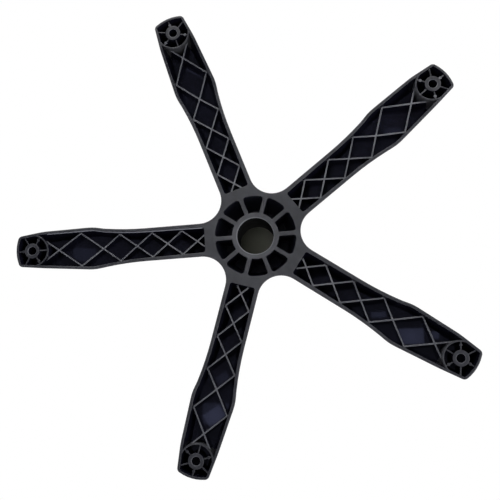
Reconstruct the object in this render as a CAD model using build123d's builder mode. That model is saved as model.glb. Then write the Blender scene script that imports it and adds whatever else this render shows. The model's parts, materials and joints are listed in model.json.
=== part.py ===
"""One-piece moulded star base of a swivel chair, open underneath, with a gas-lift bore and caster sockets.

Millimetres, +Z up as in use. The origin is on the gas-lift bore's axis, level with the bore's upper mouth.
The first arm points along +X. While it is built, heights are measured up from the tips' lower rims.
"""

import os
from math import pi, radians, sqrt, tan

from build123d import *

# Layout of the star, seen from above
arm_count = 5
caster_pitch_radius = 300.0
tip_overhang = 21.8
end_wall_radius = 52.0
end_corner_radius = 6.5
crest_setback = 80.5
neck_setback = 123.5
root_fillet_radius = 31.0

# Half widths of an arm at its lower rim, and the thickness of its side walls there
root_half_width = 22.4
neck_half_width = 22.6
crest_half_width = 29.4
tip_half_width = 20.6
root_wall = 5.6
neck_wall = 4.2
crest_wall = 4.2
tip_wall = 3.0
neck_blend_radius = 400.0
crest_blend_radius = 60.0

# Side view, as heights above the tips' lower rims
hub_face_height = 19.5
hub_top_height = 84.5
shoulder_height = 71.0
shoulder_radius = 46.0
tip_top_height = 31.0
arm_top_sag = 2.0
rise_outer_setback = 16.0
rise_inner_setback = 92.0
rise_blend_radius = 40.0
side_lean = 12.0
roof_thickness = 4.0
top_edge_chamfer = 3.0

# Hub
collar_radius = 35.5
collar_foot_chamfer = 4.0
collar_edge_chamfer = 1.5
bore_mouth_radius = 24.95
bore_land_length = 15.0
bore_taper = 0.719
bore_mouth_chamfer = 0.6
bore_foot_chamfer = 1.2
ring_wall = 6.3
pocket_outer_radius = 54.3
pocket_rib = 5.4
pocket_inner_corner = 2.0
pocket_outer_corner = 4.0

# Channel under each arm, with its crossed ribs
channel_start = 64.0
channel_start_chamfer = 1.8
rib_thickness = 2.0
rib_angle = 38.2
rib_recess = 6.0
first_crossing_gap = 15.0

# Caster socket
stem_hole_radius = 5.5
stem_hole_depth = 23.0
stem_hole_chamfer = 0.7
boss_radius = 10.2
socket_wall_radius = 22.3
socket_wall = 2.0
spoke_thickness = 1.8
spoke_recess = 2.0
pad_radius = 2.0
outer_pad_distance = 12.9
inner_pad_distance = 16.5

# Worked out from the sizes above
lean_run = tan(radians(side_lean))
rib_slope = tan(radians(rib_angle))
end_reach = caster_pitch_radius + tip_overhang
crest_reach = caster_pitch_radius - crest_setback
neck_reach = caster_pitch_radius - neck_setback
rise_inner_reach = caster_pitch_radius - rise_inner_setback
rise_outer_reach = caster_pitch_radius - rise_outer_setback
ring_radius = bore_mouth_radius + ring_wall
roof_height = shoulder_height - roof_thickness
hub_height = hub_top_height - hub_face_height
bore_foot_radius = bore_mouth_radius - (hub_height - bore_land_length) * tan(radians(bore_taper))
socket_wall_middle = socket_wall_radius - socket_wall / 2
cut_margin = 1.0
sector_reach = 2 * end_reach
sector_rise = tan(pi / arm_count)
valley_plane = Plane.XZ.rotated((0, 0, 180 / arm_count))
hub_face_plane = Plane.XY.offset(hub_face_height)
socket_plane = Plane((caster_pitch_radius, 0, 0))


def rim_height(reach):
    """Height of an arm's lower rim at a distance from the bore's axis."""
    share = (rise_outer_reach - reach) / (rise_outer_reach - rise_inner_reach)
    return hub_face_height * min(max(share, 0), 1)


def nearest_vertex(sketch, x, y):
    return sketch.vertices().sort_by_distance((x, y, 0))[0]


def side_stations(start, wall_share):
    """Reach and half width at the rim of an arm's outer side, moved in by a share of the wall."""
    return [
        (start, root_half_width - wall_share * root_wall),
        (neck_reach, neck_half_width - wall_share * neck_wall),
        (crest_reach, crest_half_width - wall_share * crest_wall),
    ]


def arm_plan(start, wall_share):
    """Plan of an arm at height zero, where its sides are widest, moved in by a share of the wall."""
    inset = wall_share * tip_wall
    end = end_reach - inset
    end_radius = end_wall_radius - inset
    tip_half = tip_half_width - inset
    side = [
        (reach, half + rim_height(reach) * lean_run)
        for reach, half in side_stations(start, wall_share)
    ]
    side.append((end - end_radius + sqrt(end_radius**2 - tip_half**2), tip_half))
    right = [(reach, -half) for reach, half in side]
    left = [(reach, half) for reach, half in reversed(side)]
    with BuildSketch() as plan:
        with BuildLine():
            Polyline(*right)
            ThreePointArc(right[-1], (end, 0), left[0])
            Polyline(*left, right[0])
        make_face()
        for (reach, half), radius in zip(side[1:3], (neck_blend_radius, crest_blend_radius)):
            for way in (-1, 1):
                fillet(nearest_vertex(plan, reach, way * half), radius=radius)
    return plan.sketch


def arm_band(lift, drop, sag):
    """Everything between an arm's underside raised by lift and its top lowered by drop."""
    with BuildPart() as band:
        with BuildSketch(Plane.XZ) as section:
            with BuildLine():
                near = (shoulder_radius, shoulder_height - drop)
                far = (caster_pitch_radius, tip_top_height - drop)
                top = SagittaArc(near, far, -sag) if sag else Line(near, far)
                tip = Line(top @ 1, top @ 1 + top % 1 * 2 * tip_overhang)
                Polyline(
                    tip @ 1,
                    ((tip @ 1).X, lift),
                    (rise_outer_reach, lift),
                    (rise_inner_reach, hub_face_height + lift),
                    (0, hub_face_height + lift),
                    (0, shoulder_height - drop),
                    near,
                )
            make_face()
            for reach, height in ((rise_outer_reach, 0), (rise_inner_reach, hub_face_height)):
                fillet(nearest_vertex(section, reach, height + lift), radius=rise_blend_radius)
        extrude(amount=end_reach, both=True)
    return band.part


def arm_space(start, wall_share, lift):
    """Space inside one arm from a reach outwards, moved in by a share of the walls and roof."""
    with BuildPart() as space:
        add(arm_plan(start, wall_share))
        extrude(amount=hub_top_height, taper=side_lean)
        add(arm_band(lift, wall_share * (roof_thickness + arm_top_sag), 0), mode=Mode.INTERSECT)
    return space.part


def rib_path():
    """Points of one rib, which runs at a steady angle between the side walls towards the tip."""
    sides = side_stations(channel_start, 1) + [(end_reach - tip_wall, tip_half_width - tip_wall)]
    level = rib_recess * lean_run
    crossing = channel_start + first_crossing_gap
    points = [(crossing - first_crossing_gap, -first_crossing_gap * rib_slope)]
    way = 1
    for (near, near_half), (far, far_half) in zip(sides, sides[1:]):
        spread = (far_half - near_half) / (far - near)
        touch = (near_half - level - near * spread + crossing * rib_slope) / (rib_slope - spread)
        while touch < far:
            half = (touch - crossing) * rib_slope
            points.append((touch, way * half))
            crossing = touch + half / rib_slope
            way = -way
            touch = (near_half - level - near * spread + crossing * rib_slope) / (rib_slope - spread)
    return points


# Plan of the whole star at height zero
with BuildSketch() as star_plan:
    with PolarLocations(0, arm_count):
        add(arm_plan(0, 0))
    valleys = star_plan.vertices().sort_by_distance((0, 0, 0))[:arm_count]
    fillet(valleys, radius=root_fillet_radius - hub_face_height * lean_run)

# Crossed ribs of one arm
with BuildPart() as ribs:
    with BuildSketch():
        with BuildLine():
            Polyline(*rib_path())
        trace(line_width=rib_thickness)
        mirror(about=Plane.XZ)
        with Locations((caster_pitch_radius, 0)):
            Circle(socket_wall_middle, mode=Mode.SUBTRACT)
    extrude(amount=hub_top_height)
    add(arm_space(channel_start - cut_margin, 0.5, rib_recess), mode=Mode.INTERSECT)

# Boss of one caster socket, and the curved wall towards the hub
with BuildPart() as socket:
    with BuildSketch(socket_plane):
        Circle(socket_wall_radius)
        Circle(socket_wall_radius - socket_wall, mode=Mode.SUBTRACT)
        Rectangle(
            socket_wall_radius,
            2 * socket_wall_radius,
            align=(Align.MIN, Align.CENTER),
            mode=Mode.SUBTRACT,
        )
        Circle(boss_radius)
    extrude(amount=hub_top_height)
    add(arm_space(channel_start, 0.5, 0), mode=Mode.INTERSECT)

# Spokes of one caster socket, with the round pads that the ejector pins press on
with BuildPart() as spokes:
    with BuildSketch(socket_plane):
        with PolarLocations(0, 3, start_angle=120, angular_range=180):
            Rectangle(socket_wall_middle, spoke_thickness, align=(Align.MIN, Align.CENTER))
        with PolarLocations(0, 3, start_angle=-60, angular_range=180):
            Rectangle(2 * tip_overhang, spoke_thickness, align=(Align.MIN, Align.CENTER))
        with PolarLocations(outer_pad_distance, 1):
            Circle(pad_radius)
        with PolarLocations(inner_pad_distance, 2, start_angle=120, angular_range=240):
            Circle(pad_radius)
    extrude(amount=hub_top_height)
    add(arm_space(channel_start, 0.5, spoke_recess), mode=Mode.INTERSECT)

# Space of one channel, with its corners towards the hub bevelled
with BuildPart() as channel:
    add(arm_space(channel_start, 1, -cut_margin))
    start_wall = channel.faces().sort_by(Axis.X)[0]
    start_corners = start_wall.edges().filter_by(lambda edge: abs((edge % 0.5).Z) > 0.5)
    chamfer(start_corners, length=channel_start_chamfer)

# One arm with its share of the hub, between the middles of the two valleys beside it
with BuildPart() as sector:
    add(star_plan.sketch)
    extrude(amount=hub_top_height, taper=side_lean)
    with BuildSketch():
        Polygon(
            (0, 0),
            (sector_reach, -sector_reach * sector_rise),
            (sector_reach, sector_reach * sector_rise),
            align=None,
        )
    extrude(amount=hub_top_height, mode=Mode.INTERSECT)
    add(arm_band(0, 0, arm_top_sag), mode=Mode.INTERSECT)

    tip_corners = sector.edges().filter_by(
        lambda edge: edge.center().Z > cut_margin and min(end.Z for end in edge.vertices()) < cut_margin
    )
    fillet(tip_corners, radius=end_corner_radius)

    top_edges = [edge for face in sector.faces() if face.normal_at().Z > 0.5 for edge in face.edges()]
    side_edges = [
        edge
        for edge in top_edges
        if top_edges.count(edge) == 1 and sector_rise * edge.center().X - abs(edge.center().Y) > cut_margin
    ]
    chamfer(side_edges, length=top_edge_chamfer)

    add(channel.part, mode=Mode.SUBTRACT)
    add(ribs.part)
    add(socket.part)
    add(spokes.part)
    with Locations((caster_pitch_radius, 0)):
        Cylinder(
            stem_hole_radius,
            stem_hole_depth,
            align=(Align.CENTER, Align.CENTER, Align.MIN),
            mode=Mode.SUBTRACT,
        )
        Cone(
            stem_hole_radius + stem_hole_chamfer,
            stem_hole_radius,
            stem_hole_chamfer,
            align=(Align.CENTER, Align.CENTER, Align.MIN),
            mode=Mode.SUBTRACT,
        )

# Pockets around the hub's ring, between ribs on the arms' axes and midway between them
with BuildPart() as pockets:
    with BuildSketch(hub_face_plane) as pocket_plan:
        Circle(pocket_outer_radius)
        Circle(ring_radius, mode=Mode.SUBTRACT)
        with PolarLocations(0, 2 * arm_count):
            Rectangle(
                2 * pocket_outer_radius,
                pocket_rib,
                align=(Align.MIN, Align.CENTER),
                mode=Mode.SUBTRACT,
            )
        corners = pocket_plan.vertices().sort_by_distance((0, 0, 0))
        fillet(corners[len(corners) // 2 :], radius=pocket_outer_corner)
        fillet(corners[: len(corners) // 2], radius=pocket_inner_corner)
    extrude(amount=roof_height - hub_face_height)
    with BuildSketch(hub_face_plane):
        Circle(pocket_outer_radius)
    extrude(amount=hub_height, taper=side_lean, mode=Mode.INTERSECT)

# The whole moulding, with the hub's collar, pockets and bore
with BuildPart() as moulding:
    with PolarLocations(0, arm_count):
        add(sector.part)
    add(pockets.part, mode=Mode.SUBTRACT)
    with BuildSketch(valley_plane):
        with BuildLine():
            Polyline(
                (0, hub_top_height),
                (collar_radius - collar_edge_chamfer, hub_top_height),
                (collar_radius, hub_top_height - collar_edge_chamfer),
                (collar_radius, shoulder_height + collar_foot_chamfer),
                (collar_radius + collar_foot_chamfer, shoulder_height),
                (collar_radius + collar_foot_chamfer, roof_height),
                (0, roof_height),
                (0, hub_top_height),
            )
        make_face()
    revolve(axis=Axis.Z)
    with BuildSketch(valley_plane):
        with BuildLine():
            Polyline(
                (0, hub_top_height),
                (bore_mouth_radius + bore_mouth_chamfer, hub_top_height),
                (bore_mouth_radius, hub_top_height - bore_mouth_chamfer),
                (bore_mouth_radius, hub_top_height - bore_land_length),
                (bore_foot_radius, hub_face_height + bore_foot_chamfer),
                (bore_foot_radius + bore_foot_chamfer, hub_face_height),
                (0, hub_face_height),
                (0, hub_top_height),
            )
        make_face()
    revolve(axis=Axis.Z, mode=Mode.SUBTRACT)

# The same moulding, moved down so that its origin is level with the bore's upper mouth
with BuildPart() as chair_base:
    with Locations((0, 0, -hub_top_height)):
        add(moulding.part)
chair_base.part.label = "chair_base"

os.makedirs("parts", exist_ok=True)
export_step(chair_base.part, "parts/chair_base.step")
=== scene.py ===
"""Moulded star base of a swivel chair, seen from below as in the photograph."""

import json
from math import radians

import bpy
from mathutils import Matrix, Vector
from mathutils.bvhtree import BVHTree


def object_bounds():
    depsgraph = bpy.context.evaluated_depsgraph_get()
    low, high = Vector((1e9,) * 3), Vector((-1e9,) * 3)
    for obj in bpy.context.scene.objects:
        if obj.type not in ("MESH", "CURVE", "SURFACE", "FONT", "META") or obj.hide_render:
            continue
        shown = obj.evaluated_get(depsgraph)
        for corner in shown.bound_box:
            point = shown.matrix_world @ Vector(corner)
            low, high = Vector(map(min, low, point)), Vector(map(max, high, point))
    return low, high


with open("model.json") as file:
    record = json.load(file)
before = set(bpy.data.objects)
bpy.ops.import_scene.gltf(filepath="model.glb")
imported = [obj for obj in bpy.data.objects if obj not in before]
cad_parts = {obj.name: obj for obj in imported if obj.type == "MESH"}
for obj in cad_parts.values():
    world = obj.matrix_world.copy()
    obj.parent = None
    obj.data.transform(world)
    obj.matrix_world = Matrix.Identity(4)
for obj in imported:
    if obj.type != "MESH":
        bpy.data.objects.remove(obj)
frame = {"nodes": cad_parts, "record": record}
cad_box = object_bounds()
base = frame["nodes"]["chair_base"]
mounts = {mount["name"]: mount for mount in frame["record"]["mounts"]}

# Row frame, in metres. Arm 0 points along +X and the others follow anticlockwise from above
casters = [Vector(mounts[f"caster_socket_{arm + 1}"]["pos_m"][:2]) for arm in range(5)]
CASTER_REACH = casters[0].length
LEFT_ARM = 2
UPPER_ARMS = (3, 4)

# The lower rims are level with the hub's face near the hub, and fall towards the tips
HUB_FACE = -0.065
TIP_LEVEL = cad_box[0].z
FALL_START = 0.208
FALL_END = 0.284

# Picture frame: x right, y up, z towards the camera, in millimetres from the hub's lower face
TURN = Matrix.Rotation(radians(-32.16), 3, "Z") @ Matrix.Rotation(radians(180), 3, "X")
SCALE = 0.9963 / 1000


def seen(x, y, z):
    """A point of the picture frame, in the row frame."""
    return TURN @ Vector((x, y, z)) * SCALE + Vector((0, 0, HUB_FACE))


# Helpers for materials


class Nodes:
    """Short form for building one node tree."""

    def __init__(self, tree):
        self.tree = tree

    def add(self, kind, inputs=None, **settings):
        node = self.tree.nodes.new(kind)
        for key, value in settings.items():
            setattr(node, key, value)
        for key, value in (inputs or {}).items():
            if isinstance(value, bpy.types.NodeSocket):
                self.tree.links.new(value, node.inputs[key])
            else:
                node.inputs[key].default_value = value
        return node

    def math(self, operation, *values):
        inputs = dict(enumerate(values))
        return self.add("ShaderNodeMath", inputs, operation=operation).outputs[0]

    def noise(self, vector, scale, detail, roughness):
        inputs = {"Vector": vector, "Scale": scale, "Detail": detail, "Roughness": roughness}
        return self.add("ShaderNodeTexNoise", inputs).outputs["Fac"]

    def span(self, value, low, high, to_low=0.0, to_high=1.0):
        inputs = {0: value, 1: low, 2: high, 3: to_low, 4: to_high}
        return self.add("ShaderNodeMapRange", inputs).outputs[0]

    def mix_colours(self, share, first, second):
        inputs = {0: share, 6: first, 7: second}
        return self.add("ShaderNodeMix", inputs, data_type="RGBA").outputs[2]

    def show_unless(self, hidden, shader):
        """End the tree with a shader that is clear where hidden is 1."""
        clear = self.add("ShaderNodeBsdfTransparent").outputs[0]
        shown = self.add("ShaderNodeMixShader", {0: hidden, 1: shader, 2: clear}).outputs[0]
        self.add("ShaderNodeOutputMaterial", {"Surface": shown})


def new_material(name):
    material = bpy.data.materials.new(name)
    material.use_nodes = True
    material.node_tree.nodes.clear()
    return material, Nodes(material.node_tree)


# Nylon: satin where the mould is textured, polished inside the hollows, and lighter copies
# that carry painted highlights

CLOUD_SCALE = 16.0
FLOW_SCALE = 120.0
GRAIN_SCALE = 2200.0
GRAIN_HEIGHT = 0.0002
# Reach of the painted highlight around the bore, and where it fades out
HIGHLIGHT_RING_REACH = 0.031
HIGHLIGHT_RING_FADE_REACH = 0.034
# Depths where the painted highlight band above the lower rims ends and fades out
HIGHLIGHT_BAND_DEPTH = 0.0015
HIGHLIGHT_BAND_FADE_DEPTH = 0.003


def nylon(
    name, dark, light, roughness, grain, shine=0.5, rounding=0.0008, ring_highlight_gain=1.0, highlight_band=None
):
    """Moulded nylon, mottled between two colours, with a painted highlight that makes it
    lighter by the given gain around the bore.

    A band colour, where one is given, paints a highlight over the first millimetres above the
    lower rims.
    """
    material, n = new_material(name)
    place = n.add("ShaderNodeTexCoord").outputs["Object"]
    cloudy = n.noise(place, CLOUD_SCALE, 4.0, 0.6)
    flow = n.noise(place, FLOW_SCALE, 3.0, 0.55)
    fine = n.noise(place, GRAIN_SCALE, 2.0, 0.6)
    shade = n.math("ADD", n.math("MULTIPLY", cloudy, 0.6), n.math("MULTIPLY", flow, 0.4))
    colour = n.mix_colours(n.span(shade, 0.35, 0.65), (*dark, 1), (*light, 1))
    x, y, z = n.add("ShaderNodeSeparateXYZ", {0: place}).outputs
    square = n.math("ADD", n.math("POWER", x, 2.0), n.math("POWER", y, 2.0))
    reach = n.math("SQRT", square)
    # Painted highlight: the colour is lighter by the gain near the bore
    gain = n.span(reach, HIGHLIGHT_RING_REACH, HIGHLIGHT_RING_FADE_REACH, ring_highlight_gain, 1.0)
    scaled = n.add("ShaderNodeVectorMath", {0: colour, "Scale": gain}, operation="SCALE")
    colour = scaled.outputs[0]
    # Painted highlight: a light band over the first millimetres above the lower rims
    if highlight_band:
        rim = n.span(reach, FALL_START, FALL_END, HUB_FACE, TIP_LEVEL)
        depth = n.math("SUBTRACT", z, rim)
        share = n.span(depth, HIGHLIGHT_BAND_DEPTH, HIGHLIGHT_BAND_FADE_DEPTH, 1.0, 0.0)
        colour = n.mix_colours(share, colour, (*highlight_band, 1))
    inputs = {
        "Strength": grain,
        "Distance": GRAIN_HEIGHT,
        "Height": n.math("ADD", fine, n.math("MULTIPLY", flow, 1.5)),
        "Normal": n.add("ShaderNodeBevel", {"Radius": rounding}, samples=8).outputs[0],
    }
    bump = n.add("ShaderNodeBump", inputs).outputs[0]
    inputs = {
        "Base Color": colour,
        "Roughness": n.span(n.math("ADD", cloudy, flow), 0.7, 1.3, *roughness),
        "Normal": bump,
        "Specular IOR Level": shine,
    }
    shader = n.add("ShaderNodeBsdfPrincipled", inputs).outputs[0]
    n.add("ShaderNodeOutputMaterial", {"Surface": shader})
    return material


SATIN, EDGE_HIGHLIGHT, POLISHED, DULL, BORE, WALL_HIGHLIGHT = range(6)
polish = {
    "dark": (0.004, 0.004, 0.008),
    "light": (0.007, 0.007, 0.014),
    "roughness": (0.012, 0.03),
    "grain": 0.003,
    "rounding": 0.0002,
}
finishes_and_highlights = {
    SATIN: nylon(
        "nylon_satin",
        dark=(0.038, 0.038, 0.041),
        light=(0.058, 0.059, 0.065),
        roughness=(0.34, 0.46),
        grain=0.25,
        rounding=0.0018,
        # Painted highlight around the bore
        ring_highlight_gain=1.3,
    ),
    # Painted highlight: a lighter copy of the nylon for the bore and stem bevels, the ejector
    # pads and the rib edges
    EDGE_HIGHLIGHT: nylon(
        "nylon_edge_highlight",
        dark=(0.11, 0.112, 0.12),
        light=(0.158, 0.16, 0.17),
        roughness=(0.30, 0.42),
        grain=0.15,
    ),
    POLISHED: nylon("nylon_polished", **polish),
    DULL: nylon(
        "nylon_dull",
        dark=(0.005, 0.0055, 0.009),
        light=(0.008, 0.0085, 0.013),
        roughness=(0.40, 0.50),
        grain=0.10,
        shine=0.2,
    ),
    BORE: nylon(
        "nylon_bore",
        dark=(0.010, 0.010, 0.010),
        light=(0.016, 0.016, 0.016),
        roughness=(0.45, 0.60),
        grain=0.15,
        shine=0.0,
    ),
    # Polished nylon with a painted highlight band above the lower rim
    WALL_HIGHLIGHT: nylon("nylon_wall_highlight", **polish, highlight_band=(0.50, 0.51, 0.56)),
}
base.data.materials.clear()
for finish in sorted(finishes_and_highlights):
    base.data.materials.append(finishes_and_highlights[finish])

# Which face has which finish or painted highlight: distances from the bore's axis, from the
# nearest caster socket's axis or from a pad's middle, and depths above the lower rims

BORE_WALL_REACH = 0.0253
BORE_BEVEL_REACH = 0.0262
POCKET_REACH = 0.0546
CHANNEL_REACH = 0.066
# Reach where the painted highlight band on the left arm ends
WALL_HIGHLIGHT_REACH = 0.28
RIBS_END_REACH = 0.285
STEM_BEVEL_REACH = 0.0065
SOCKET_WALL_NEAR = 0.0217
SOCKET_WALL_FAR = 0.0229
PAD_REACH = 0.0021
FLUSH_DEPTH = 0.001
RIB_NEAR_DEPTH = 0.003
RIB_FAR_DEPTH = 0.0085

# A ray upwards from just off a face finds what covers it
RAY_START = 0.0003
RAY_LENGTH = 0.1

picture_down = TURN @ Vector((0, -1, 0))

# Middles of the ejector pads on the two upper arms, which carry a painted highlight
highlight_pads = [
    casters[arm] + Matrix.Rotation(radians(bearing), 2) @ casters[arm].normalized() * distance
    for arm in UPPER_ARMS
    for distance, bearing in ((0.0129, 0), (0.0165, 120), (0.0165, 240))
]
tree = BVHTree.FromPolygons(
    [vertex.co for vertex in base.data.vertices],
    [list(face.vertices) for face in base.data.polygons],
)


def rim_level(reach):
    """Height of the lower rims at a distance from the bore's axis."""
    share = min(max((FALL_END - reach) / (FALL_END - FALL_START), 0), 1)
    return TIP_LEVEL + share * (HUB_FACE - TIP_LEVEL)


def finish_or_highlight_of(face):
    """Finish or painted highlight of one face, from where it lies and which way it looks."""
    centre, normal = face.center, face.normal
    reach = centre.xy.length
    depth = centre.z - rim_level(reach)
    nearest = min(casters, key=lambda caster: (centre.xy - caster).length)
    from_caster = centre.xy - nearest
    on_left_arm = nearest == casters[LEFT_ARM]
    on_upper_wall = normal.dot(picture_down) > 0.93
    looks_down = normal.z < -0.9
    slants_down = -0.9 < normal.z < -0.3
    upright = abs(normal.z) < 0.3
    above = tree.ray_cast(centre + normal * RAY_START, Vector((0, 0, 1)), RAY_LENGTH)
    covered = above[0] is not None
    on_socket_wall = (
        upright
        and SOCKET_WALL_NEAR < from_caster.length < SOCKET_WALL_FAR
        and normal.xy.dot(from_caster) > 0
        and reach < CASTER_REACH
    )
    # Painted highlight on the bore's bevel
    if reach < BORE_BEVEL_REACH and slants_down:
        return EDGE_HIGHLIGHT
    if reach < BORE_WALL_REACH:
        return BORE if upright else SATIN
    if reach < POCKET_REACH and covered and depth > FLUSH_DEPTH:
        return DULL
    # Painted highlight on the stem holes' bevels
    if from_caster.length < STEM_BEVEL_REACH and slants_down:
        return EDGE_HIGHLIGHT
    # Painted highlight on the ejector pads of the two upper arms
    if looks_down and min((centre.xy - pad).length for pad in highlight_pads) < PAD_REACH:
        return EDGE_HIGHLIGHT
    # Painted light and shade: the socket walls take the lighter satin on every arm but the
    # left one, whose walls stay dark
    if on_socket_wall and not on_left_arm:
        return SATIN
    # Painted highlight: a light band along the left arm's upper inner wall, just above the rim
    if on_left_arm and on_upper_wall and covered and reach < WALL_HIGHLIGHT_REACH:
        return WALL_HIGHLIGHT
    # Painted highlight on the rib edges
    if looks_down and depth < RIB_FAR_DEPTH:
        on_rib = CHANNEL_REACH < reach < RIBS_END_REACH and depth > RIB_NEAR_DEPTH
        return EDGE_HIGHLIGHT if on_rib else SATIN
    return POLISHED if covered else SATIN


for face in base.data.polygons:
    face.material_index = finish_or_highlight_of(face)

# Floor, seen from above only, which fades into the white background

FLOOR_GAP = 0.0004
FADE_START = 0.55
FADE_END = 1.2
floor_material, n = new_material("floor")
backfacing = n.add("ShaderNodeNewGeometry").outputs["Backfacing"]
place = n.add("ShaderNodeTexCoord").outputs["Object"]
away = n.add("ShaderNodeVectorMath", {0: place}, operation="LENGTH").outputs["Value"]
tone = n.span(n.noise(place, 90.0, 3.0, 0.6), 0.35, 0.65)
paper = n.mix_colours(tone, (0.86, 0.86, 0.86, 1), (0.88, 0.88, 0.88, 1))
top_side = n.add("ShaderNodeBsdfDiffuse", {"Color": paper, "Roughness": 0.6}).outputs[0]
faded = n.span(away, FADE_START, FADE_END)
n.show_unless(n.math("MAXIMUM", backfacing, faded), top_side)
bpy.ops.mesh.primitive_plane_add(size=12, location=(0, 0, TIP_LEVEL - FLOOR_GAP))
floor = bpy.context.object
floor.name = "floor"
floor.data.materials.append(floor_material)
floor.visible_shadow = False
floor.visible_glossy = False
floor.visible_diffuse = False

# Painted shade: a dark disc behind the bore, seen from below only, for the shadowed ground
# seen through the bore

BEHIND_RADIUS = 0.034
BEHIND_LEVEL = 0.002
SHADE_REACH = 0.035
shade_disc_material, n = new_material("painted_shade_disc")
backfacing = n.add("ShaderNodeNewGeometry").outputs["Backfacing"]
place = n.add("ShaderNodeTexCoord").outputs["Object"]
x, y = n.add("ShaderNodeSeparateXYZ", {0: place}).outputs[:2]
# Painted shade, darker towards one side of the disc
share = n.span(n.math("ADD", x, y), -SHADE_REACH, SHADE_REACH)
shade = n.mix_colours(share, (0.032, 0.033, 0.026, 1), (0.090, 0.090, 0.078, 1))
n.show_unless(backfacing, n.add("ShaderNodeBsdfDiffuse", {"Color": shade}).outputs[0])
bpy.ops.mesh.primitive_circle_add(
    vertices=64,
    radius=BEHIND_RADIUS,
    fill_type="NGON",
    location=(0, 0, BEHIND_LEVEL),
    rotation=(radians(180), 0, 0),
)
shade_disc = bpy.context.object
shade_disc.name = "painted_shade_disc"
shade_disc.data.materials.append(shade_disc_material)
shade_disc.visible_shadow = False

# World: white for the camera, and for the rest a studio that is dark below and pale above

world = bpy.data.worlds.new("world")
bpy.context.scene.world = world
world.use_nodes = True
world.node_tree.nodes.clear()
n = Nodes(world.node_tree)
direction = n.add("ShaderNodeTexCoord").outputs["Generated"]
rise = n.add("ShaderNodeSeparateXYZ", {0: direction}).outputs[2]
ramp = n.add("ShaderNodeValToRGB", {"Fac": n.span(rise, -1, 1)})
stops = ramp.color_ramp.elements
stops[0].color = (0.088, 0.092, 0.135, 1)
stops[1].color = (0.60, 0.60, 0.60, 1)
stops.new(0.22).color = (0.100, 0.104, 0.145, 1)
stops.new(0.42).color = (0.46, 0.47, 0.50, 1)
stops.new(0.5).color = (0.66, 0.68, 0.70, 1)
to_camera = n.add("ShaderNodeLightPath").outputs["Is Camera Ray"]
studio = n.add("ShaderNodeBackground", {"Color": ramp.outputs[0]}).outputs[0]
white = n.add("ShaderNodeBackground", {"Color": (1, 1, 1, 1)}).outputs[0]
both = n.add("ShaderNodeMixShader", {0: to_camera, 1: studio, 2: white}).outputs[0]
n.add("ShaderNodeOutputWorld", {"Surface": both})

# Lamps. Low lamps and windows are placed in the picture frame, and the windows are sized
# there too; the sizes of all other lamps are in metres

WHITE = (1.0, 1.0, 1.0)
LOW_LAMP_REACH = 1390
LOW_LAMP_HEIGHT = 800
NEAR_LAMP_SIZE = (0.12, 0.12)
WINDOW_HEIGHT = 2933
WINDOW_SPREAD = radians(8)
WINDOW_POWER = 0.005
WINDOW_TINT = (0.50, 0.56, 1.0)
middle = Vector((0, 0, -0.06))


def lamp(name, place, aim, size, power, tint=WHITE):
    data = bpy.data.lights.new(name, "AREA")
    data.shape = "RECTANGLE"
    data.size, data.size_y = size
    data.energy = power
    data.color = tint
    lamp_object = bpy.data.objects.new(name, data)
    bpy.context.scene.collection.objects.link(lamp_object)
    lamp_object.location = place
    lamp_object.rotation_euler = (aim - place).to_track_quat("-Z", "Y").to_euler()
    return lamp_object


def low_lamp(name, bearing, power, tint=WHITE, size=0.9):
    """A softbox low beside the object, on the side that the photograph looks from."""
    around = Matrix.Rotation(radians(bearing), 3, "Z") @ Vector((LOW_LAMP_REACH, 0, 0))
    place = seen(around.x, around.y, LOW_LAMP_HEIGHT)
    lamp(name, place, middle, (size, size), power, tint)


def window(target, centre, size, level, turn=0.0):
    """A far pane of a window, which only the polished roof around its target mirrors."""
    target, centre = seen(*target), seen(*centre, WINDOW_HEIGHT)
    width, depth = (length * SCALE for length in size)
    power = WINDOW_POWER * level * width * depth
    pane = lamp("window", centre, target, (width, depth), power, WINDOW_TINT)
    back = (centre - target).normalized()
    side = (TURN @ Matrix.Rotation(radians(turn), 3, "Z")).col[0]
    up = back.cross(side).normalized()
    pane.rotation_euler = Matrix((up.cross(back), up, back)).transposed().to_euler()
    pane.data.spread = WINDOW_SPREAD


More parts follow.
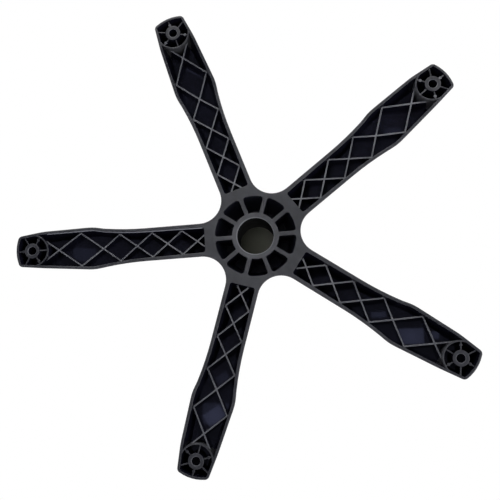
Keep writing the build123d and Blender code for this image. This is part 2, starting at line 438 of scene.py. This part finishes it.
low_lamp("low_right", -10, 8, (0.93, 0.95, 1.0))
low_lamp("low_top", 100, 8, size=0.6)
low_lamp("low_left", 190, 1)
low_lamp("low_bottom", 280, 3)
near_hub = lamp("near_hub", seen(-10, 30, 260), middle, NEAR_LAMP_SIZE, 0.42, (1.0, 1.0, 0.97))
near_hub.visible_glossy = False
near_tip = lamp("near_tip", seen(330, 330, 350), seen(245, 205, -20), NEAR_LAMP_SIZE, 0.055)
near_tip.data.spread = radians(40)
near_tip.visible_glossy = False

# Windows, as mirrored in the arms at the lower right, bottom, left, upper left and upper right
window((200, -131, -15), (-20, 427), (149, 94), 0.9)
window((232, -131, -11), (120, 430), (45, 45), 0.6)
window((160, -102, -23), (-211, 568), (90, 34), 0.5)
window((-53, -238, -15), (-200, 350), (164, 131), 0.4)
window((-50, -240, -15), (-208, 336), (122, 86), 0.75, turn=35)
window((-46, -188, -22), (-165, 580), (80, 50), 0.3, turn=35)
window((-240, -20, -15), (-335, 490), (140, 80), 0.3)
window((-83, 238, -13), (-192, 706), (132, 32), 0.4, turn=-23)
window((184, 169, -14), (-39, 690), (139, 24), 0.25, turn=5)
window((186, 143, -16), (-34, 578), (105, 36), 0.3)

# Lamps above, for the upper side
lamp("over_key", Vector((-0.9, -1.0, 1.5)), middle, (1.2, 1.2), 26)
lamp("over_fill", Vector((1.2, 0.8, 1.3)), middle, (1.4, 1.4), 14)

# Camera, at the photograph's place and angle

PICTURE_WIDTH = 500
CAMERA_PLACE = seen(48.37, -150.28, 788.46)
CAMERA_TILT = Vector((0.1028, 0.1037, 0))
camera_data = bpy.data.cameras.new("camera")
camera = bpy.data.objects.new("camera", camera_data)
bpy.context.scene.collection.objects.link(camera)
turned = TURN @ Matrix.Rotation(CAMERA_TILT.length, 3, CAMERA_TILT)
camera.matrix_world = Matrix.Translation(CAMERA_PLACE) @ turned.to_4x4()
camera_data.sensor_width = 36
camera_data.lens = 43.2
camera_data.shift_x = 20.28 / PICTURE_WIDTH
camera_data.shift_y = 37.09 / PICTURE_WIDTH
camera_data.clip_start = 0.01
bpy.context.scene.camera = camera
bpy.context.scene.view_settings.view_transform = "Standard"
